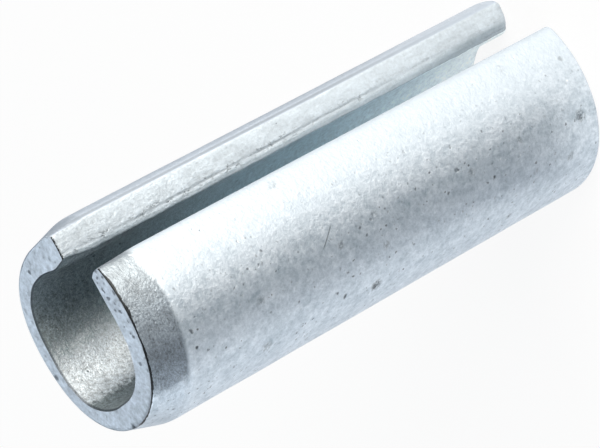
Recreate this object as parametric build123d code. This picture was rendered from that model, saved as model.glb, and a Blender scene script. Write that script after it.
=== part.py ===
from build123d import *
import os
from math import radians, tan

# Slotted spring pin for an 8 mm hole, 24 mm long, rolled from steel strip and zinc plated.
# It is one piece: a C-shaped sleeve that closes its slot a little when it is driven into its hole.
#
# Frame: the pin stands on its plain end with the lead-in at the top. The origin is on the sleeve's
# axis at the plain end, +Z runs up the axis and -Y out through the slot. Lengths are millimetres.

# The hole that the pin is made for, and how the sleeve compares with it before it is driven in
HOLE_DIAMETER = 8.0
SLEEVE_OVERSIZE = 0.8
LEAD_END_UNDERSIZE = 0.15

STRIP_THICKNESS = 1.5
LENGTH = 24.0

# The slot. Each strip edge leans in from its outer corner to a nose, and from there a bevel runs
# back out to the bore. The edge on the +X side reaches further into the slot than the other.
SLOT_GAP = 2.9  # between the two outer corners
NOSE_REACH = {+1: 0.83, -1: 0.58}  # sideways from each outer corner to its nose
NOSE_STANDOFF = 0.22  # from the front of the bore straight out to the noses
BEVEL_ANGLE = 39.0  # degrees between a bevel and the slot's middle plane

# How far the strip's edges are rounded
OUTER_CORNER_RADIUS = {+1: 0.20, -1: 0.45}
NOSE_RADIUS = 0.12
BEVEL_RUNOUT_RADIUS = 0.5

# The lead-in. Its small end was made out of line with the sleeve, towards the slot and the -X
# side, so the taper is deepest at the back of the sleeve and on its +X side.
LEAD_LENGTH = 1.65
LEAD_OFFSET_X = -0.15
LEAD_OFFSET_Y = -0.15
SHOULDER_RADIUS = 2.0

# Broken edges at the ends
PLAIN_END_RADIUS = 0.15
BORE_MOUTH_BREAK = 0.07

OUTER_RADIUS = (HOLE_DIAMETER + SLEEVE_OVERSIZE) / 2
BORE_RADIUS = OUTER_RADIUS - STRIP_THICKNESS
LEAD_END_RADIUS = (HOLE_DIAMETER - LEAD_END_UNDERSIZE) / 2
SHOULDER_Z = LENGTH - LEAD_LENGTH


def strip_edge(side):
    """One strip edge: its outer corner, its nose, where its bevel runs out and the bevel's foot."""
    corner_reach = (OUTER_RADIUS**2 - (SLOT_GAP / 2) ** 2) ** 0.5
    corner = Vector(side * SLOT_GAP / 2, -corner_reach)
    nose = Vector(corner.X - side * NOSE_REACH[side], -BORE_RADIUS - NOSE_STANDOFF)
    bevel = Vector(side * tan(radians(BEVEL_ANGLE)), 1).normalized()
    foot = nose - bevel * nose.dot(bevel)  # the bevel's nearest point to the axis, in the bore
    runout = foot - bevel * (BORE_RADIUS**2 - foot.length**2) ** 0.5
    return corner, nose, runout, foot


def slot_outline():
    """The gap between the strip edges, open outside the sleeve and closed inside its bore."""
    ways_in = []
    for side in (+1, -1):
        corner, nose, runout, foot = strip_edge(side)
        outside = corner + (corner - nose)
        ways_in.append([outside, nose, foot])
    right, left = ways_in
    return Polygon(*right, *reversed(left), align=None)


def sleeve_section():
    """The C-shaped section, with both strip edges in their true form."""
    section = Circle(OUTER_RADIUS) - Circle(BORE_RADIUS) - slot_outline()
    for side in (+1, -1):
        corner, nose, runout, foot = strip_edge(side)
        section = fillet(section.vertices().sort_by_distance(runout)[0], BEVEL_RUNOUT_RADIUS)
        section = fillet(section.vertices().sort_by_distance(nose)[0], NOSE_RADIUS)
        section = fillet(section.vertices().sort_by_distance(corner)[0], OUTER_CORNER_RADIUS[side])
    return section


def outer_form():
    """The solid that the sleeve's outside follows: plain end, body, shoulder and lead-in."""
    body = Circle(OUTER_RADIUS)
    shoulder = Pos(Z=SHOULDER_Z) * body
    lead_end = Pos(LEAD_OFFSET_X, LEAD_OFFSET_Y, LENGTH) * Circle(LEAD_END_RADIUS)
    form = extrude(body, SHOULDER_Z) + loft([shoulder, lead_end])
    form = fillet(form.edges().filter_by(GeomType.CIRCLE).sort_by(Axis.Z)[1], SHOULDER_RADIUS)
    return fillet(form.edges().sort_by(Axis.Z)[0], PLAIN_END_RADIUS)


def bore_mouth(z, inward):
    """The cone that breaks the bore's edge at one end."""
    mouth = Pos(Z=z) * Circle(BORE_RADIUS + BORE_MOUTH_BREAK)
    return extrude(mouth, amount=inward * BORE_MOUTH_BREAK, taper=45)


def spring_pin():
    """The whole pin."""
    blank = extrude(sleeve_section(), LENGTH)
    pin = blank & outer_form()
    return pin - bore_mouth(0, +1) - bore_mouth(LENGTH, -1)


pin = spring_pin()
os.makedirs("parts", exist_ok=True)
export_step(pin, "parts/spring_pin.step")
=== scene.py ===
from math import cos, pi, radians, sin

import bmesh
import bpy
import numpy as np
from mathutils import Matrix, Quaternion, Vector, noise


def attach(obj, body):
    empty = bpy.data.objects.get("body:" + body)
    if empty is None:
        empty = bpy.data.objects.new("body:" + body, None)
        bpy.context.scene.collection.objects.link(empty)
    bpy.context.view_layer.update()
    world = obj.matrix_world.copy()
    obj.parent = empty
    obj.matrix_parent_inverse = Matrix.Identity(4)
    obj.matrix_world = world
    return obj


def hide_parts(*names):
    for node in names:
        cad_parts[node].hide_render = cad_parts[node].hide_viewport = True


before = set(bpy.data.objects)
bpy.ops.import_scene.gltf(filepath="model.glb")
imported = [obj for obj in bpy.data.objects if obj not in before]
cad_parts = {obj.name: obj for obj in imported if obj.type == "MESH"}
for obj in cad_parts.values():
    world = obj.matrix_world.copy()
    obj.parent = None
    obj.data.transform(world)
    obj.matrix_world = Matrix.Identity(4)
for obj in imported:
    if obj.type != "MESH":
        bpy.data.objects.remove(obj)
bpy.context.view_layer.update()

# A slotted spring pin: one C-shaped sleeve of zinc-plated steel, standing on its plain end.
# Its form is worked out in millimetres and scaled to metres as the mesh is made. A bearing is
# measured round the axis in degrees from the middle of the slot (-Y) through -X, the back (+Y)
# and +X. A height is measured up the axis from the plain end.
MM = 0.001

# ---- Sizes of the sleeve

LENGTH = 24.0
OUTER_RADIUS = 4.4
BORE_RADIUS = 2.9

# Strip edges, by the side of the slot they lie on. The face runs from the outer corner in to the
# nose, and the bevel from the nose back out to the bore. Each pair is a value on the body and
# the same value at the lead-in's end.
CORNER_X = {+1: (1.40, 1.38), -1: (1.45, 1.47)}
CORNER_SINK = {+1: (0.062, 0.0), -1: (0.0, 0.0)}  # how far the corner lies in from the round
CORNER_ROLL = {+1: (0.25, 0.05), -1: (0.36, 0.16)}  # its rounding's reach round the outside
CORNER_ROUNDING = {+1: (0.05, 0.05), -1: (0.36, 0.16)}  # and its reach down the face
NOSE_X = {+1: (0.62, 0.69), -1: (0.87, 1.02)}
NOSE_Y = (-3.12, -3.28)
NOSE_ROUNDING = (0.10, 0.05)
RUNOUT_X = {+1: (0.924, 1.28), -1: (1.301, 2.05)}
RUNOUT_ROUNDING = 0.22
SPREAD_START = 0.1  # how far below the shoulder the edges start to change

# The lead-in. The rim of its small end is off the axis and a little out of round: each pair is
# a size and the bearing of a crest.
SHOULDER_HEIGHT = 22.35
SHOULDER_SOFTNESS = 0.17  # as a share of the lead-in's length
RIM_RADIUS = 3.92
RIM_OFFSET = (0.18, 39)
RIM_OVAL = (0.065, -32)
RIM_TRILOBE = (0.03, 18)
RIM_SQUARENESS = (0.055, 4)
TIP_FLARE = 0.20  # how far the +X tip springs out at the rim
FLARE_BEARINGS = (320, 342)

# The bore is drawn a little out of round towards the lead-in's end
MOUTH_DEPTH = 5.0
MOUTH_GROWTH = 0.045
MOUTH_OFFSET = (0.046, 140)
MOUTH_TRILOBE = (0.036, 43)
MOUTH_SQUARENESS = (0.095, 6)

# Broken edges
PLAIN_ROUNDING = 0.15
BORE_BREAK = 0.07
CRISP_RIM = 0.01
WORN_RIM = 0.13
WEAR_STARTS = (130, 175)  # bearings over which the worn part of the rim comes in
WEAR_STOPS = (300, 335)  # and dies away
TIP_SETBACK = 0.25  # how far the +X nose is rounded off at the plain end
TIP_SETBACK_HEIGHT = 0.42
RUNOUT_SETBACK_SHARE = 0.6  # how much of that the end of its bevel follows

# The plating has cracked away just under the cut end's rim, and along the +X face's end
CRACK_BELOW_END = 0.05
CRACK_HALF_WIDTH = 0.045
CRACK_DEPTH = 0.04
CRACK_STARTS = (4, 12)  # bearings over which it comes in
CRACK_STOPS = (120, 134)  # and dies away

# Each face is a little crowned, and a rolled-in line runs along it at a share of the way from its
# outer corner to its nose. Below the line the +X face leans back, more and more towards the plain
# end.
GROOVE_PLACE = (0.64, 0.80)  # at the plain end and at the lead-in's
GROOVE_DEPTH = 0.017
GROOVE_WIDTH = 0.05
GROOVE_SWAY = 0.05
GROOVE_SHIVER = 0.015
FACE_CROWN = 0.035
FACE_LEAN = 0.15
FACE_LEAN_HEIGHT = 5.0

# Unevenness left by rolling, cutting and blasting: its size and the length of its waves
OUTSIDE_WAVINESS, OUTSIDE_WAVE = 0.010, 2.4
BORE_WAVINESS, BORE_WAVE = 0.022, 0.9
END_WAVINESS, END_WAVE = 0.018, 1.1
END_WAVINESS_DEPTH = 0.35
NOSE_RAGGEDNESS = 0.030
EDGE_CALM = 0.04  # the share of the way round, next to each strip edge, with no waviness

# How finely the mesh is divided
ARC_STEPS = 184
CORNER_POINTS = 9
FACE_POINTS = 24
TURN_POINTS = 7  # round a nose, and where a bevel runs out into the bore
BEVEL_POINTS = 7
END_STEPS = 7
RIM_DEPTHS = (0, 0.005, 0.01, 0.018, 0.03, 0.04, 0.05, 0.06, 0.07, 0.082, 0.1, 0.12, 0.14, 0.165)
LEAD_STEP = 0.06
BODY_SECTIONS = 122
PLAIN_HEIGHTS = (0.42, 0.34, 0.26, 0.2, 0.15, 0.11, 0.075, 0.045, 0.02, 0)
SHARP_ANGLE = 38  # edges that turn by more than this are shaded sharp

# ---- Helpers


def smooth(low, high, value):
    """0 below low, 1 above high and an S-curve between."""
    share = np.clip((value - low) / (high - low), 0, 1)
    return share * share * (3 - 2 * share)


def lobes(count, size_and_crest, bearing):
    """A wave with this many crests round the sleeve."""
    size, crest = size_and_crest
    return size * np.cos(count * np.radians(bearing - crest))


def on_bearing(bearing, radius):
    """Points of a section at these bearings and radii."""
    angle = np.radians(bearing)
    return np.stack([-radius * np.sin(angle), -radius * np.cos(angle)], axis=-1)


def wander(height, feature, seed):
    """Random wandering between about -1 and 1 up the sleeve, with features of this length."""
    return noise.noise(Vector((seed * 7.7, 0, height / feature)))


def rumble(points, height, feature, seed):
    """Random unevenness between about -1 and 1 at a section's points."""
    start = Vector((seed * 17.3, seed * 5.9, height / feature))
    return np.array([noise.noise(Vector((x, y, 0)) / feature + start) for x, y in points])


def rounding_cut(size, height_in):
    """How far a rounded edge has fallen away at a height into the rounding."""
    share = np.clip(height_in / size, 0, 1)
    return size * (1 - (1 - share**2) ** 0.5)


def add_object(name, shape, materials):
    """Put a shape into the scene as a mesh with these materials."""
    mesh = bpy.data.meshes.new(name)
    shape.to_mesh(mesh)
    shape.free()
    for material in materials:
        mesh.materials.append(material)
    piece = bpy.data.objects.new(name, mesh)
    bpy.context.collection.objects.link(piece)
    return piece


# ---- Form of the sleeve


def rim_rounding(bearing):
    """The cut end's outer edge is crisp beside the crack and worn round at the back."""
    worn = smooth(*WEAR_STARTS, bearing) * (1 - smooth(*WEAR_STOPS, bearing))
    return CRISP_RIM + (WORN_RIM - CRISP_RIM) * worn


def crack_depth(height):
    """How deep the crack under the cut end is at a height."""
    away = abs(height - (LENGTH - CRACK_BELOW_END)) / CRACK_HALF_WIDTH
    return CRACK_DEPTH * np.clip(1 - away, 0, 1) ** 0.5


def rim_crack(bearing, height):
    """How far the crack under the rim cuts in."""
    along = smooth(*CRACK_STARTS, bearing) * (1 - smooth(*CRACK_STOPS, bearing))
    ragged = 0.6 + 0.4 * np.sin(np.radians(bearing * 7)) * np.sin(np.radians(bearing * 2.3))
    return crack_depth(height) * along * ragged


def outer_radius(bearing, height):
    """The outside: body, soft shoulder, off-centre lead-in and the edges of both ends."""
    bearing = np.mod(bearing, 360)
    rim = RIM_RADIUS + TIP_FLARE * smooth(*FLARE_BEARINGS, bearing)
    for count, lobe in enumerate((RIM_OFFSET, RIM_OVAL, RIM_TRILOBE, RIM_SQUARENESS), start=1):
        rim = rim + lobes(count, lobe, bearing)
    lead = (height - SHOULDER_HEIGHT) / (LENGTH - SHOULDER_HEIGHT)
    bend = np.clip(lead + SHOULDER_SOFTNESS, 0, 2 * SHOULDER_SOFTNESS)
    lead = bend**2 / (4 * SHOULDER_SOFTNESS) + max(lead - SHOULDER_SOFTNESS, 0)
    radius = OUTER_RADIUS - (OUTER_RADIUS - rim) * lead
    radius = radius - rounding_cut(PLAIN_ROUNDING, PLAIN_ROUNDING - height)
    rounding = rim_rounding(bearing)
    radius = radius - rounding_cut(rounding, height - LENGTH + rounding)
    return radius - rim_crack(bearing, height)


def bore_radius(bearing, height):
    """The bore, with the broken edges of both its mouths."""
    drawn = MOUTH_GROWTH + lobes(1, MOUTH_OFFSET, bearing) + lobes(3, MOUTH_TRILOBE, bearing)
    drawn = drawn + lobes(4, MOUTH_SQUARENESS, bearing)
    radius = BORE_RADIUS + drawn * smooth(LENGTH - MOUTH_DEPTH, LENGTH, height)
    return radius + max(BORE_BREAK - height, height - LENGTH + BORE_BREAK, 0)


def turn(before, corner, after, reach_in, reach_out, steps):
    """Points round a corner that starts and ends at these distances from it."""
    start = corner + (before - corner) / np.linalg.norm(before - corner) * reach_in
    end = corner + (after - corner) / np.linalg.norm(after - corner) * reach_out
    share = np.linspace(0, 1, steps)[:, None]
    return (1 - share) ** 2 * start + 2 * share * (1 - share) * corner + share**2 * end


def face_lean(side, height):
    """How far a face's nose has leaned back at a height."""
    return FACE_LEAN * (1 - smooth(0, FACE_LEAN_HEIGHT, height)) * (side > 0)


def face_relief(side, height, place):
    """How far a face lies below flat at a place between its outer corner (0) and nose (1)."""
    line = np.interp(height, (0, LENGTH), GROOVE_PLACE)
    line = line + GROOVE_SWAY * wander(height, 3.0, 5 + side)
    line = line + GROOVE_SHIVER * wander(height, 0.7, 6)
    depth = GROOVE_DEPTH * (1 + wander(height, 1.3, 9))
    groove = depth * np.exp(-(((place - line) / GROOVE_WIDTH) ** 2))
    crown = FACE_CROWN * 4 * place * (1 - place)
    lean = face_lean(side, height) * np.clip((place - line) / (1 - line), 0, 1)
    return groove - crown + lean + crack_depth(height) * (side > 0)


def strip_edge(side, height):
    """One strip edge's points, outside to bore, and the bearings that they start and end at."""
    lead = smooth(SHOULDER_HEIGHT - SPREAD_START, LENGTH, height)

    def at_height(body_and_end):
        return np.interp(lead, (0, 1), body_and_end)

    setback = rounding_cut(1, 1 - height / TIP_SETBACK_HEIGHT) * TIP_SETBACK * (side > 0)
    nose_x = at_height(NOSE_X[side]) + setback
    runout_x = at_height(RUNOUT_X[side]) + setback * RUNOUT_SETBACK_SHARE

    corner_bearing = -side * np.degrees(np.arcsin(at_height(CORNER_X[side]) / OUTER_RADIUS))
    corner_radius = outer_radius(corner_bearing, height) - at_height(CORNER_SINK[side])
    corner = on_bearing(corner_bearing, corner_radius)
    corner_roll = at_height(CORNER_ROLL[side])
    out_bearing = corner_bearing - side * np.degrees(corner_roll / OUTER_RADIUS)
    out = on_bearing(out_bearing, outer_radius(out_bearing, height))
    runout_bearing = -side * np.degrees(np.arcsin(runout_x / BORE_RADIUS))
    runout = on_bearing(runout_bearing, bore_radius(runout_bearing, height))
    in_bearing = runout_bearing - side * np.degrees(RUNOUT_ROUNDING / BORE_RADIUS)
    into_bore = on_bearing(in_bearing, bore_radius(in_bearing, height))

    nose = np.array([side * nose_x, at_height(NOSE_Y)])
    width = np.linalg.norm(nose - corner)
    across = (nose - corner) / width
    into_metal = side * np.array([across[1], -across[0]])
    ragged = wander(height, 0.9, 3 + side) + 0.7 * wander(height, 0.3, 8 + side) - 1
    nose = nose + across * ragged * NOSE_RAGGEDNESS + into_metal * face_lean(side, height)

    roll_reach = np.linalg.norm(out - corner)
    face_reach = at_height(CORNER_ROUNDING[side])
    shoulder = turn(out, corner, nose, roll_reach, face_reach, CORNER_POINTS)
    rounding = at_height(NOSE_ROUNDING)
    point = turn(corner, nose, runout, rounding, rounding, TURN_POINTS)
    bore_reach = np.linalg.norm(into_bore - runout)
    foot = turn(nose, runout, into_bore, RUNOUT_ROUNDING, bore_reach, TURN_POINTS)
    face = np.linspace(shoulder[-1], point[0], FACE_POINTS)[1:-1]
    bevel = np.linspace(point[-1], foot[0], BEVEL_POINTS)[1:-1]
    place = (face - corner) @ across / width
    depth = face_relief(side, height, place) - place * face_lean(side, height)
    face = face + into_metal * depth[:, None]
    return np.concatenate([shoulder, face, point, bevel, foot]), out_bearing, in_bearing


def section(height):
    """The closed section at a height, in runs of points: outside, +X edge, bore and -X edge."""
    left_edge, left_out, left_in = strip_edge(-1, height)
    right_edge, right_out, right_in = strip_edge(+1, height)
    share = np.linspace(0, 1, ARC_STEPS + 1)[1:-1]
    fade = smooth(0, EDGE_CALM, share) * (1 - smooth(1 - EDGE_CALM, 1, share))
    out_bearing = left_out + (right_out + 360 - left_out) * share
    radius = outer_radius(out_bearing, height)
    uneven = rumble(on_bearing(out_bearing, radius), height, OUTSIDE_WAVE, 1) - 1
    outside = on_bearing(out_bearing, radius + uneven * fade * OUTSIDE_WAVINESS)
    in_bearing = right_in + 360 + (left_in - right_in - 360) * share
    radius = bore_radius(in_bearing, height)
    uneven = rumble(on_bearing(in_bearing, radius), height, BORE_WAVE, 2)
    bore = on_bearing(in_bearing, radius + uneven * fade * BORE_WAVINESS)
    return outside, right_edge, bore, left_edge[::-1]


def section_heights():
    """Where the sections lie: close together at both ends and over the lead-in."""
    rim = LENGTH - np.array(RIM_DEPTHS)
    lead_in = np.arange(LENGTH - 0.2, SHOULDER_HEIGHT - 0.45, -LEAD_STEP)
    body = np.linspace(lead_in[-1] - 0.1, 0.5, BODY_SECTIONS)
    return np.concatenate([rim, lead_in, body, PLAIN_HEIGHTS])


def wavy_heights(points, height, end):
    """The heights of a section's points, with the waviness of the cut end that it is nearest."""
    share = smooth(END_WAVINESS_DEPTH, 0, abs(end - height))
    sink = (1 - rumble(points, end, END_WAVE, 4)) * 0.5 * END_WAVINESS * share
    return height - sink if end else height + sink


def place_ring(sleeve, runs, height):
    """Add one section's vertices, each run in a list of its own."""
    end = LENGTH if height > LENGTH / 2 else 0
    ring = []
    for run in runs:
        levels = wavy_heights(run, height, end)
        points = [Vector((x, y, level)) for (x, y), level in zip(run, levels)]
        ring.append([sleeve.verts.new(point * MM) for point in points])
    return ring


def close_end(sleeve, ring, height, finish):
    """Fill an end: a grid between the outside and the bore, and one face at each strip edge."""
    outside, right_edge, bore, left_edge = ring
    outer = [left_edge[-1]] + outside + [right_edge[0]]
    inner = [left_edge[0]] + bore[::-1] + [right_edge[-1]]
    rows = [outer]
    for step in range(1, END_STEPS):
        middle = [a.co.lerp(b.co, step / END_STEPS) for a, b in zip(outer, inner)]
        flat = np.array([co.xy for co in middle]) / MM
        levels = wavy_heights(flat, height, height) * MM
        row = [(co.x, co.y, level) for co, level in zip(middle, levels)]
        rows.append([sleeve.verts.new(co) for co in row])
    rows.append(inner)
    for near, far in zip(rows, rows[1:]):
        for a, b, c, d in zip(near, near[1:], far[1:], far):
            sleeve.faces.new((a, b, c, d)).material_index = finish
    for edge, column in ((right_edge, -1), (left_edge[::-1], 0)):
        seam = [row[column] for row in rows[1:-1]]
        sleeve.faces.new(edge + seam[::-1]).material_index = finish


OUTSIDE, CUT_END, STRIP_EDGE, BORE = range(4)
CORNER_SHARE = 6  # how many steps of an outer corner's rounding have the outside's finish
BEVEL_SHARE = 14  # how many steps from a nose in to the bore have the bore's finish


def run_finishes(ring):
    """The finish of each strip of faces between two neighbouring points of a section."""
    outside, right_edge, bore, left_edge = ring
    finishes = [OUTSIDE] * (len(outside) + CORNER_SHARE)
    finishes += [STRIP_EDGE] * (len(right_edge) - CORNER_SHARE - BEVEL_SHARE - 1)
    finishes += [BORE] * (len(bore) + 1 + 2 * BEVEL_SHARE)
    finishes += [STRIP_EDGE] * (len(left_edge) - CORNER_SHARE - BEVEL_SHARE - 1)
    return finishes + [OUTSIDE] * (CORNER_SHARE + 1)


def make_sleeve(finishes):
    """The whole sleeve as one closed mesh."""
    sleeve = bmesh.new()
    heights = section_heights()
    rings = [place_ring(sleeve, section(height), height) for height in heights]
    around = run_finishes(rings[0])
    for upper, lower in zip(rings, rings[1:]):
        above, below = sum(upper, []), sum(lower, [])
        for i, finish in enumerate(around):
            after = (i + 1) % len(around)
            quad = (above[i], above[after], below[after], below[i])
            sleeve.faces.new(quad).material_index = finish
    close_end(sleeve, rings[0], LENGTH, CUT_END)
    close_end(sleeve, rings[-1], 0.0, CUT_END)
    bmesh.ops.recalc_face_normals(sleeve, faces=sleeve.faces)
    piece = add_object("sleeve", sleeve, finishes)
    piece.data.polygons.foreach_set("use_smooth", [True] * len(piece.data.polygons))
    piece.data.set_sharp_from_angle(angle=radians(SHARP_ANGLE))
    return piece


# ---- Finishes: node trees written as expressions


class Value:
    """A node's output socket, with arithmetic that adds Math nodes."""

    def __init__(self, finish, node, output):
        self.finish = finish
        self.node = node
        self.socket = node.outputs[output]

    def output(self, name):
        """Another output of the same node."""
        return Value(self.finish, self.node, name)

    def math(self, operation, *others):
        inputs = dict(enumerate([self, *others]))
        return self.finish.node("Math", {"operation": operation}, inputs)

    def __add__(self, other):
        return self.math("ADD", other)

    def __sub__(self, other):
        return self.math("SUBTRACT", other)

    def __mul__(self, other):
        return self.math("MULTIPLY", other)

    def __rsub__(self, other):
        return self.finish.node("Math", {"operation": "SUBTRACT"}, {0: other, 1: self})

    def __abs__(self):
        return self.math("ABSOLUTE")

    __radd__ = __add__

    def most(self, other):
        return self.math("MAXIMUM", other)

    def least(self, other):
        return self.math("MINIMUM", other)

    def between(self, low, high):
        """0 at low, 1 at high and an S-curve between. Low may be the greater of the two."""
        limits = {"Value": self, "From Min": low, "From Max": high}
        return self.finish.node("MapRange", {"interpolation_type": "SMOOTHSTEP"}, limits)

    def band(self, rise, fall):
        """1 between two pairs: it rises over the first and falls over the second."""
        return self.between(*rise) * self.between(*reversed(fall))

    def ramp(self, low, high):
        """0 at low, 1 at high and a straight line between."""
        limits = {"Value": self, "From Min": low, "From Max": high}
        return self.finish.node("MapRange", {}, limits)


class Finish:
    """One material's node tree."""

    def __init__(self, name):
        self.material = bpy.data.materials.new(name)
        self.material.use_nodes = True
        self.tree = self.material.node_tree
        self.tree.nodes.clear()

    def node(self, kind, settings={}, inputs={}, output=0):
        """Add a node: its settings first, then the value or link of each socket."""
        node = self.tree.nodes.new("ShaderNode" + kind)
        for name, value in settings.items():
            setattr(node, name, value)
        for name, value in inputs.items():
            socket = node.inputs[name]
            if isinstance(value, Value):
                self.tree.links.new(value.socket, socket)
            else:
                socket.default_value = (*value, 1) if socket.type == "RGBA" else value
        return Value(self, node, output) if node.outputs else None

    def vector(self, operation, *values):
        return self.node("VectorMath", {"operation": operation}, dict(enumerate(values)))

    def scaled(self, vector, factor):
        return self.node("VectorMath", {"operation": "SCALE"}, {0: vector, "Scale": factor})

    def mixed(self, share, first, second):
        """A colour between two others."""
        return self.node("Mix", {"data_type": "RGBA"}, {0: share, 6: first, 7: second}, output=2)

    def grain(self, place, per_mm, detail, roughness):
        """Soft noise round 0.5, with this many features in a millimetre."""
        inputs = {"Vector": place, "Scale": per_mm, "Detail": detail, "Roughness": roughness}
        return self.node("TexNoise", {}, inputs)

    def specks(self, place, cell, radius, share):
        """Scattered round specks: 1 at their middles. About this share of the cells has one."""
        inputs = {"Vector": place, "Scale": 1 / cell, "Randomness": 1.0}
        cells = self.node("TexVoronoi", {}, inputs)
        chance = self.node("SeparateColor", {}, {0: cells.output("Color")})
        size = chance.ramp(1 - share, 1) * (radius / cell)
        return (size - cells).between(0, 0.5 * radius / cell)

    def spot(self, place, bearing, from_axis, height, size, strength):
        """One round mark, softer towards its rim."""
        middle = (*map(float, on_bearing(bearing, from_axis)), height)
        away = self.node("VectorMath", {"operation": "DISTANCE"}, {0: place, 1: middle}, "Value")
        return away.between(size, size * 0.3) * strength

    def plated_steel(self, colour, roughness, relief, depth):
        """The plated steel's shader, with a relief of this depth in millimetres."""
        bump = self.node("Bump", {}, {"Strength": 1.0, "Distance": depth * MM, "Height": relief})
        shader = self.node("BsdfPrincipled", {}, {
            "Base Color": colour,
            "Metallic": METALLIC,
            "Roughness": roughness,
            "Normal": bump,
        })
        self.node("OutputMaterial", {}, {"Surface": shader})
        return self.material


# ---- Colours of the plated steel, as linear values

ZINC = (0.57, 0.64, 0.71)
MOTTLE_TINT = (1.08, 0.94, 0.86)
END_ZINC = (0.43, 0.48, 0.535)
FACE_ZINC = (0.54, 0.605, 0.665)
# Painted shade: the nose side of a strip edge's face
SHADED_NOSE_ZINC = (0.40, 0.465, 0.52)
# Painted shade: the +X leg's outside beside the slot is bluer than the rest
SHADED_LEG_ZINC = (0.585, 0.66, 0.755)
# Painted light and shade in the bore: the lit stripe, the shaded mouth, and lighter colours
# deeper in
LIT_STRIPE_BORE = (0.57, 0.63, 0.69)
MOUTH_SHADE_BORE = (0.20, 0.24, 0.26)
HALF_LIT_BORE = (0.56, 0.68, 0.74)
LIT_FAR_BORE = (0.86, 0.95, 1.0)
RUBBED_ZINC = (0.205, 0.24, 0.277)
PALE_SPECK = (0.85, 0.88, 0.90)
DARK_PIT = (0.05, 0.06, 0.07)
# Painted shade in the cracks at the cut end
CRACK_SHADE = (0.015, 0.018, 0.02)

METALLIC = 0.70
OUTSIDE_ROUGHNESS = 0.46
INNER_ROUGHNESS = 0.50
OUTSIDE_RELIEF, END_RELIEF, EDGE_RELIEF, BORE_RELIEF = 0.020, 0.014, 0.022, 0.024

# Bands round the outside: the bearings over which each comes in and goes out
MARKED_BAND = (28, 62), (300, 346)
# Painted shade: a darker streak along the upper edge of the flank's shaded band
SHADE_STREAK_BAND = (61, 67), (69, 80)
PALE_LEAD_BAND = (42, 54), (66, 80)
CRACK_SHADE_BAND = (6, 16), (126, 142)
# Beyond these bearings the +X leg is painted bluer and darker as shade, darker still towards the
# plain end
SHADED_LEG_STARTS = (296, 320)

# The +X leg's outer corner rolls over between these places in X. It is painted darker there as
# shade, because the rolled corner catches more light than a crisp corner would.
ROLL_SHADE_BAND = (1.36, 1.48), (1.53, 1.68)

# The rolled-in line of a strip edge's face: its X at the plain end, and how far it leans in
# towards the slot's middle for each millimetre of height
LINE_X = 0.895
LINE_SLANT = 0.005

# Marks on the outside that stand out: bearing, height, radius and strength
STAINS = (
    (73, 1.0, 0.36, 0.7),
    (68, 4.4, 0.20, 0.35),
    (71, 7.2, 0.26, 0.4),
    (90, 3.8, 0.20, 0.4),
    (93, 1.8, 0.30, 0.35),
    (113, 5.1, 0.22, 0.5),
    (71, 14.3, 0.22, 0.45),
    (65, 12.4, 0.24, 0.35),
    (106, 12.65, 0.36, 0.9),
    (76, 18.6, 0.26, 0.35),
)
PITS = (
    (56, 3.9, 0.08, 0.8),
    (66, 7.8, 0.09, 0.7),
    (80, 6.1, 0.13, 0.9),
    (81, 6.5, 0.07, 0.7),
    (82, 5.5, 0.08, 0.6),
    (96, 3.9, 0.09, 0.8),
    (64, 10.1, 0.10, 0.8),
    (92, 10.7, 0.09, 0.5),
    (68, 13.2, 0.12, 0.7),
    (67, 13.8, 0.07, 0.6),
    (101, 14.4, 0.15, 0.85),
    (63, 16.3, 0.08, 0.5),
    (72, 22.0, 0.14, 0.8),
    (102, 1.2, 0.08, 0.5),
    (107, 23.3, 0.13, 0.9),
    (44, 23.2, 0.10, 0.8),
    (30, 19.6, 0.09, 0.6),
    (60, 9.2, 0.08, 0.7),
    (75, 8.6, 0.10, 0.7),
    (87, 7.4, 0.08, 0.6),
    (78, 11.5, 0.07, 0.6),
    (59, 18.2, 0.07, 0.6),
    (88, 16.8, 0.08, 0.6),
    (95, 19.9, 0.08, 0.6),
    (112, 23.5, 0.09, 0.7),
)

# Chips in the cut end's rim and in the cut end: bearing, radius from the axis, size and strength
RIM_CHIPS = (
    (297, 3.92, 0.18, 0.6),
    (215, 3.42, 0.20, 0.95),
    (136, 3.90, 0.20, 0.95),
)
CHIPS = (
    (81, 3.55, 0.10, 0.8),
    (30, 3.44, 0.08, 0.8),
    (40, 3.57, 0.10, 0.7),
    (61, 3.52, 0.07, 0.7),
    (23, 3.44, 0.08, 0.8),
    (122, 3.41, 0.07, 0.7),
    (327, 3.82, 0.07, 0.6),
)

# A fine scratch across the outside: where it starts and stops
SCRATCH_BEARINGS = (58.5, 69.0)
SCRATCH_HEIGHTS = (14.4, 15.2)


class Place:
    """Where a point of the surface is, in millimetres and degrees."""

    def __init__(self, finish):
        self.point = finish.scaled(finish.node("TexCoord", {}, {}, "Object"), 1 / MM)
        x = finish.node("SeparateXYZ", {}, {0: self.point}, "X")
        self.x = x
        self.height = x.output("Z")
        turned = x.math("ARCTAN2", x.output("Y")) + pi
        self.bearing = turned * (180 / pi)
        self.unrolled = finish.node("CombineXYZ", {}, {0: turned * OUTER_RADIUS, 1: self.height})
        wobble = finish.node("TexNoise", {}, {"Vector": self.point, "Scale": 4.0}, "Color")
        shift = finish.scaled(finish.vector("SUBTRACT", wobble, (0.5, 0.5, 0.5)), 0.22)
        self.warped = finish.vector("ADD", self.point, shift)


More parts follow.
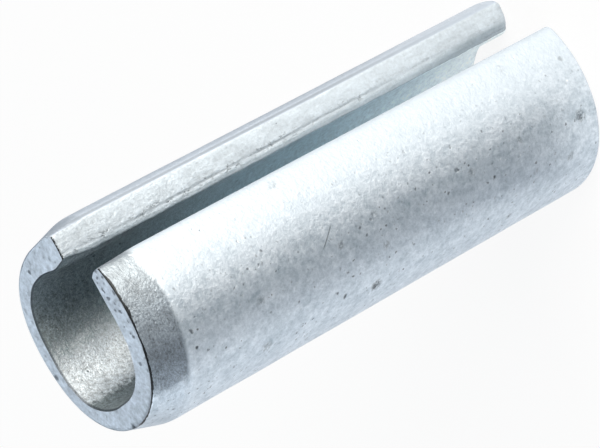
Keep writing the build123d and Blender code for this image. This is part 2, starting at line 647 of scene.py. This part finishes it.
def bare_zinc(finish, place, mottle, cloud):
    """The outside's colour: mottled, with a painted shade streak along the flank, and the +X leg
    painted bluer and darker as shade.
    """
    tone = 1.0 + mottle - (place.bearing + cloud * 8).band(*SHADE_STREAK_BAND) * 0.11
    zinc = finish.vector("MULTIPLY_ADD", finish.scaled(MOTTLE_TINT, tone - 1.0), ZINC, ZINC)
    roll_shade = place.x.band(*ROLL_SHADE_BAND) * place.height.between(-2, 14)
    roll_shade = roll_shade * place.height.between(LENGTH - 0.3, SHOULDER_HEIGHT) * 0.38
    leg = finish.scaled(SHADED_LEG_ZINC, tone * (1.0 - place.height.between(18, 3) * 0.16 - roll_shade))
    return finish.mixed(place.bearing.between(*SHADED_LEG_STARTS), zinc, leg)


def rubbed_zinc(finish, place, blotch, cloud):
    """How far the lead-in is rubbed, its colour there and the strokes that rubbed it."""
    rubbed_by = SHOULDER_HEIGHT + 0.16 + place.bearing.between(50, 22) * 0.35
    on_lead = (place.height + blotch * 0.25).between(SHOULDER_HEIGHT - 0.06, rubbed_by)
    side = place.bearing.ramp(-200, 50) * (place.bearing + cloud * 25).between(109, 90)
    drawn = finish.vector("MULTIPLY", place.unrolled, (1.0, 1.5, 1.0))
    strokes = finish.grain(drawn, per_mm=8.5, detail=3.0, roughness=0.8) - 0.5
    strokes = strokes * place.bearing.ramp(0, 60)
    paler = place.bearing.band(*PALE_LEAD_BAND) * 0.22
    level = 1.0 + paler - place.bearing.between(52, 38) * 0.17
    colour = finish.scaled(RUBBED_ZINC, (1.0 + strokes * 2.4 + blotch * 1.2) * level)
    return on_lead * side.most(0.25), colour, on_lead * strokes


def outside_finish():
    """Dull zinc: fine grain, cloudy patches, stains, dark pits, and the rubbed lead-in."""
    finish = Finish("dull_zinc")
    place = Place(finish)
    fine = finish.grain(place.point, per_mm=7.0, detail=2.0, roughness=0.7) - 0.5
    blotch = finish.grain(place.point, per_mm=2.6, detail=3.0, roughness=0.65) - 0.5
    cloud = finish.grain(place.point, per_mm=0.7, detail=3.0, roughness=0.6) - 0.5
    marked = place.bearing.band(*MARKED_BAND) * 0.88 + 0.12

    bare = bare_zinc(finish, place, (fine * 0.65 + blotch * 0.8 + cloud * 0.35) * marked, cloud)
    share, rubbed, strokes = rubbed_zinc(finish, place, blotch, cloud)
    colour = finish.mixed(share, bare, rubbed)

    dust = finish.specks(place.warped, cell=0.22, radius=0.08, share=0.85)
    small_pits = finish.specks(place.warped, cell=0.5, radius=0.11, share=0.45)
    pits = finish.specks(place.warped, cell=1.4, radius=0.16, share=0.3) * marked
    for bearing, height, size, strength in PITS:
        pit = finish.spot(place.warped, bearing, OUTER_RADIUS, height, size, strength)
        pits = pits.most(pit)
    for bearing, from_axis, size, strength in RIM_CHIPS:
        chip = finish.spot(place.warped, bearing, from_axis, LENGTH, size, strength)
        pits = pits.most(chip)
    stains = finish.specks(place.warped, cell=2.1, radius=0.4, share=0.5) * 0.4
    for bearing, height, size, strength in STAINS:
        stain = finish.spot(place.warped, bearing, OUTER_RADIUS, height, size, strength)
        stains = stains.most(stain)
    stains = stains * fine.between(0.20, -0.12)
    gathered = cloud.between(-0.08, 0.12) * 0.8 + 0.2
    dark = (dust * 0.8 * gathered).most(small_pits * 0.45) * marked
    dark = dark.most(pits * 0.95).most(stains).most(scratch_mark(place) * 0.6)
    colour = finish.mixed(dark, colour, DARK_PIT)
    bright = finish.specks(place.point, cell=0.7, radius=0.07, share=0.4)
    colour = finish.mixed(bright * 0.6, colour, PALE_SPECK)

    crack_shade = rim_crack_shade(finish, place)
    colour = finish.mixed(crack_shade, colour, CRACK_SHADE)
    relief = fine * 0.8 + blotch * 1.2 - pits * 0.8 - small_pits * 0.5 + strokes * 0.35
    return finish.plated_steel(colour, OUTSIDE_ROUGHNESS + fine * 0.1, relief, OUTSIDE_RELIEF)


def scratch_mark(place):
    """A fine slanting scratch, with soft ends."""
    along = place.bearing.ramp(*SCRATCH_BEARINGS)
    low, high = SCRATCH_HEIGHTS
    off_line = abs(place.height - low - along * (high - low)).between(0.06, 0.02)
    return off_line * along.band((0, 0.2), (0.8, 1))


def rim_crack_shade(finish, place):
    """Painted shade: the black line in the crack under the cut end's rim."""
    ragged = finish.grain(place.point, per_mm=2.2, detail=4.0, roughness=0.7) - 0.5
    middle = LENGTH - CRACK_BELOW_END + ragged * 0.08
    wider = (finish.grain(place.point, per_mm=0.9, detail=3.0, roughness=0.6) - 0.45).most(0.0)
    half = 0.034 + wider * 0.26
    line = (half - abs(place.height - middle)).between(-0.006, 0.008)
    return line * place.bearing.band(*CRACK_SHADE_BAND)


def end_finish():
    """The cut end: flat pale zinc with small dark pits and chips."""
    finish = Finish("cut_end_zinc")
    place = Place(finish)
    fine = finish.grain(place.point, per_mm=5.0, detail=3.0, roughness=0.65) - 0.5
    cloud = finish.grain(place.point, per_mm=1.8, detail=3.0, roughness=0.6) - 0.5
    pitted = place.bearing.between(95, 70) * 0.5 + 0.4
    pits = finish.specks(place.warped, cell=0.32, radius=0.15, share=0.9) * pitted
    chips = finish.specks(place.warped, cell=1.0, radius=0.15, share=0.25)
    for bearing, from_axis, size, strength in CHIPS + RIM_CHIPS:
        chip = finish.spot(place.warped, bearing, from_axis, LENGTH, size, strength)
        chips = chips.most(chip)
    colour = finish.scaled(END_ZINC, 1.0 + fine * 1.2 + cloud * 0.9)
    colour = finish.mixed((pits * 0.8).most(chips * 0.85), colour, DARK_PIT)
    relief = fine * 0.8 + cloud - pits - chips
    return finish.plated_steel(colour, INNER_ROUGHNESS + fine * 0.1, relief, END_RELIEF)


def edge_finish():
    """The strip edges: pale zinc drawn out lengthwise, dark in places along the line, with
    painted shade on the nose side of the line.
    """
    finish = Finish("strip_edge_zinc")
    place = Place(finish)
    drawn = finish.vector("MULTIPLY", place.point, (1.0, 1.0, 0.3))
    streaks = finish.grain(drawn, per_mm=3.2, detail=3.0, roughness=0.65) - 0.5
    fine = finish.grain(place.point, per_mm=7.0, detail=2.0, roughness=0.7) - 0.5
    cloud = finish.grain(place.point, per_mm=1.5, detail=3.0, roughness=0.6) - 0.5
    stretched = finish.vector("MULTIPLY", place.warped, (1.0, 1.0, 0.6))
    bits = finish.grain(stretched, per_mm=5.0, detail=3.0, roughness=0.7)
    off_line = abs(place.x) - LINE_X + place.height * LINE_SLANT
    on_line = abs(off_line).between(0.16, 0.02)
    dark = (bits - 0.52).ramp(0, 0.1) * on_line * (cloud + 0.5).between(0.42, 0.56)
    dark = dark * (place.height.between(5, 11) * 0.45 + 0.2)
    faint = abs(off_line + cloud * 0.10 - 0.01).between(0.034, 0.006) * 0.27
    seen = place.height.band((5, 11), (20, 23)) * (cloud + 0.5).between(0.30, 0.50)
    dark = dark.most(faint * seen)
    dark = dark.most(finish.specks(place.warped, cell=0.6, radius=0.06, share=0.3) * 0.6)
    rough = place.height.between(10, 20) * 0.35 + 0.65
    dulled = place.height.between(21.0, 22.8) * 0.15 + place.height.between(6, 2) * 0.10
    tone = 1.0 + (streaks * 0.50 + fine * 0.65) * rough + cloud * 0.35 - dulled
    ends = place.height.between(7, 1) + place.height.between(18, 23)
    # Painted shade: the face below the line, which leans away, is darker, more so towards both
    # ends
    shaded_nose_side = off_line.between(0.02, -0.07) * (ends * 0.5 + 0.6)
    face = finish.mixed(shaded_nose_side, finish.scaled(FACE_ZINC, tone), finish.scaled(SHADED_NOSE_ZINC, tone))
    colour = finish.mixed(dark, face, DARK_PIT)
    # Painted shade in the crack along the +X face's end
    end_crack_shade = (place.height + fine * 0.12).between(LENGTH - 0.11, LENGTH - 0.07)
    colour = finish.mixed(end_crack_shade * fine.between(-0.3, -0.2), colour, CRACK_SHADE)
    relief = (streaks * 1.1 + fine * 0.8) * rough + cloud * 0.6 - dark * 0.6
    return finish.plated_steel(colour, INNER_ROUGHNESS + fine * 0.1, relief, EDGE_RELIEF)


def bore_finish():
    """The bore: painted shade at the lead-in's end that turns to painted light deeper in, with a
    painted pool of light along its back where light through the slot falls.
    """
    finish = Finish("bore_zinc")
    place = Place(finish)
    fine = finish.grain(place.point, per_mm=6.0, detail=3.0, roughness=0.7) - 0.5
    cloud = finish.grain(place.point, per_mm=1.8, detail=3.0, roughness=0.55) - 0.5
    depth = LENGTH - place.height
    # The stripe is a painted pool of light. Its edges follow the shadows of the two noses.
    upper_edge = place.bearing + cloud * 16 + fine * 65 - depth.least(6.0) * 2.6
    lit_stripe = upper_edge.between(238, 211) * (place.bearing + fine * 14).between(176, 186)
    grain = fine * (2.2 - depth.between(1, 7) * 1.4) * (1 - lit_stripe * 0.35)
    sparkle = finish.grain(place.point, per_mm=14.0, detail=2.0, roughness=0.8) - 0.5
    sparkle = sparkle * depth.between(13, 6)
    tone = 1.0 + grain + cloud * 0.4 + sparkle * 1.5
    shade_to_light = finish.mixed(depth.between(1, 13), MOUTH_SHADE_BORE, HALF_LIT_BORE)
    shade_to_light = finish.mixed(depth.between(12, 22), shade_to_light, LIT_FAR_BORE)
    colour = finish.scaled(finish.mixed(lit_stripe, shade_to_light, LIT_STRIPE_BORE), tone)
    pits = finish.specks(place.warped, cell=0.45, radius=0.11, share=0.5) * depth.between(14, 5)
    colour = finish.mixed(pits * 0.6, colour, DARK_PIT)
    # Painted glints along the lit stripe's upper edge
    glints = finish.specks(place.point, cell=0.24, radius=0.06, share=0.6)
    glints = glints * upper_edge.between(246, 222) * depth.between(9, 5)
    colour = finish.mixed(glints * 0.45, colour, PALE_SPECK)
    lip = place.height.between(LENGTH - 0.10, LENGTH - 0.05)
    colour = finish.mixed(lip * 0.75, colour, DARK_PIT)
    relief = grain * 0.7 + cloud * 0.6 - pits + sparkle * 0.5
    return finish.plated_steel(colour, INNER_ROUGHNESS + fine * 0.1, relief, BORE_RELIEF)


# ---- The sleeve takes the plain solid's place

sleeve = make_sleeve([outside_finish(), end_finish(), edge_finish(), bore_finish()])
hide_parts("spring_pin")
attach(sleeve, "root")

# ---- Floor

FLOOR_SIZE = 2.0
FLOOR_WHITE_SHARE = 0.9


def make_floor():
    """A plain white floor that keeps a faint shadow."""
    finish = Finish("white_floor")
    rays = finish.node("LightPath")
    seen = rays.most(rays.output("Is Glossy Ray")).most(rays.output("Is Transmission Ray"))
    matt = finish.node("BsdfDiffuse", {}, {"Color": (0.8, 0.8, 0.8)})
    white = finish.node("Emission", {}, {"Color": (1, 1, 1), "Strength": 1.0})
    surface = finish.node("MixShader", {}, {0: seen * FLOOR_WHITE_SHARE, 1: matt, 2: white})
    finish.node("OutputMaterial", {}, {"Surface": surface})
    shape = bmesh.new()
    bmesh.ops.create_grid(shape, x_segments=1, y_segments=1, size=FLOOR_SIZE / 2)
    floor = add_object("floor", shape, [finish.material])


make_floor()

# ---- Light

# Azimuths are in degrees round the axis, from -Y (0) through +X (90)
MIDDLE = Vector((0, 0, LENGTH / 2)) * MM
LAMP_DISTANCE = 0.3

# Lamps: azimuth, elevation, width and height in metres, brightness and colour
LAMPS = {
    "slot_side_softbox": (342.5, 8, 0.135, 0.106, 21.5, (1.0, 0.915, 0.79)),
    "front_softbox": (352, 34, 0.34, 0.16, 5.8, (0.99, 0.95, 0.89)),
    "side_softbox": (120, 40, 0.16, 0.20, 2.4, (0.92, 0.98, 1.04)),
    "back_softbox": (222, 14, 0.30, 0.18, 3.0, (0.92, 0.98, 1.04)),
}
WORLD_GREY = (0.14, 0.17, 0.20, 1)


def direction(azimuth, elevation):
    """The way out from the sleeve at an azimuth and an elevation."""
    turned, raised = radians(azimuth), radians(elevation)
    return Vector((sin(turned) * cos(raised), -cos(turned) * cos(raised), sin(raised)))


def make_softbox(name, azimuth, elevation, width, height, brightness, colour):
    """A soft rectangular lamp that faces the middle of the sleeve."""
    lamp = bpy.data.lights.new(name, "AREA")
    lamp.shape = "RECTANGLE"
    lamp.size = width
    lamp.size_y = height
    lamp.energy = brightness * width * height * pi
    lamp.color = colour
    holder = bpy.data.objects.new(name, lamp)
    outward = direction(azimuth, elevation)
    holder.location = MIDDLE + outward * LAMP_DISTANCE
    holder.rotation_mode = "QUATERNION"
    holder.rotation_quaternion = outward.to_track_quat("Z", "Y")
    holder.visible_camera = False
    bpy.context.collection.objects.link(holder)


for name, settings in LAMPS.items():
    make_softbox(name, *settings)

world = bpy.data.worlds.new("studio")
world.use_nodes = True
world.node_tree.nodes["Background"].inputs["Color"].default_value = WORLD_GREY
bpy.context.scene.world = world

# A dark card stands on each side of the sleeve. Only reflections see them.
CARD_BEARINGS = ((59, 123), (238, 280))
CARD_NEAR = 7.0
CARD_FAR = 50.0
CARD_FOOT = 0.2
CARD_TOP = 45.0
CARD_POINTS = 13
CARD_COLOUR = (0.02, 0.045, 0.085)


def make_dark_card(bearings):
    """A curved card with its foot laid flat on the floor towards the sleeve."""
    finish = Finish("dark_card")
    card = finish.node("BsdfDiffuse", {}, {"Color": CARD_COLOUR})
    finish.node("OutputMaterial", {}, {"Surface": card})
    shape = bmesh.new()
    rows = []
    for bearing in np.linspace(*bearings, CARD_POINTS):
        near, far = on_bearing(bearing, CARD_NEAR), on_bearing(bearing, CARD_FAR)
        corners = ((*near, CARD_FOOT), (*far, CARD_FOOT), (*far, CARD_TOP))
        rows.append([shape.verts.new(Vector(corner) * MM) for corner in corners])
    for near, far in zip(rows, rows[1:]):
        for low in (0, 1):
            shape.faces.new((near[low], far[low], far[low + 1], near[low + 1]))
    piece = add_object("dark_card", shape, [finish.material])
    piece.visible_camera = False
    piece.visible_diffuse = False
    piece.visible_shadow = False


for bearings in CARD_BEARINGS:
    make_dark_card(bearings)

# ---- Camera

CAMERA_AIM = Vector((0.2006, 0.3596, 12.5941)) * MM
CAMERA_AZIMUTH = -49.3408
CAMERA_ELEVATION = 33.0412
CAMERA_ROLL = 118.7099
CAMERA_DISTANCE = 131.4488 * MM
CAMERA_LENS = 197.664
CAMERA_SENSOR_WIDTH = 36
CAMERA_CLIP_START = 0.001

camera = bpy.data.cameras.new("camera")
camera.lens = CAMERA_LENS
camera.sensor_width = CAMERA_SENSOR_WIDTH
camera.clip_start = CAMERA_CLIP_START
stand = bpy.data.objects.new("camera", camera)
outward = direction(CAMERA_AZIMUTH, CAMERA_ELEVATION)
stand.location = CAMERA_AIM + outward * CAMERA_DISTANCE
stand.rotation_mode = "QUATERNION"
upright = outward.to_track_quat("Z", "Y")
stand.rotation_quaternion = upright @ Quaternion((0, 0, 1), -radians(CAMERA_ROLL))
bpy.context.collection.objects.link(stand)
bpy.context.scene.camera = stand
bpy.context.scene.view_settings.view_transform = "Standard"
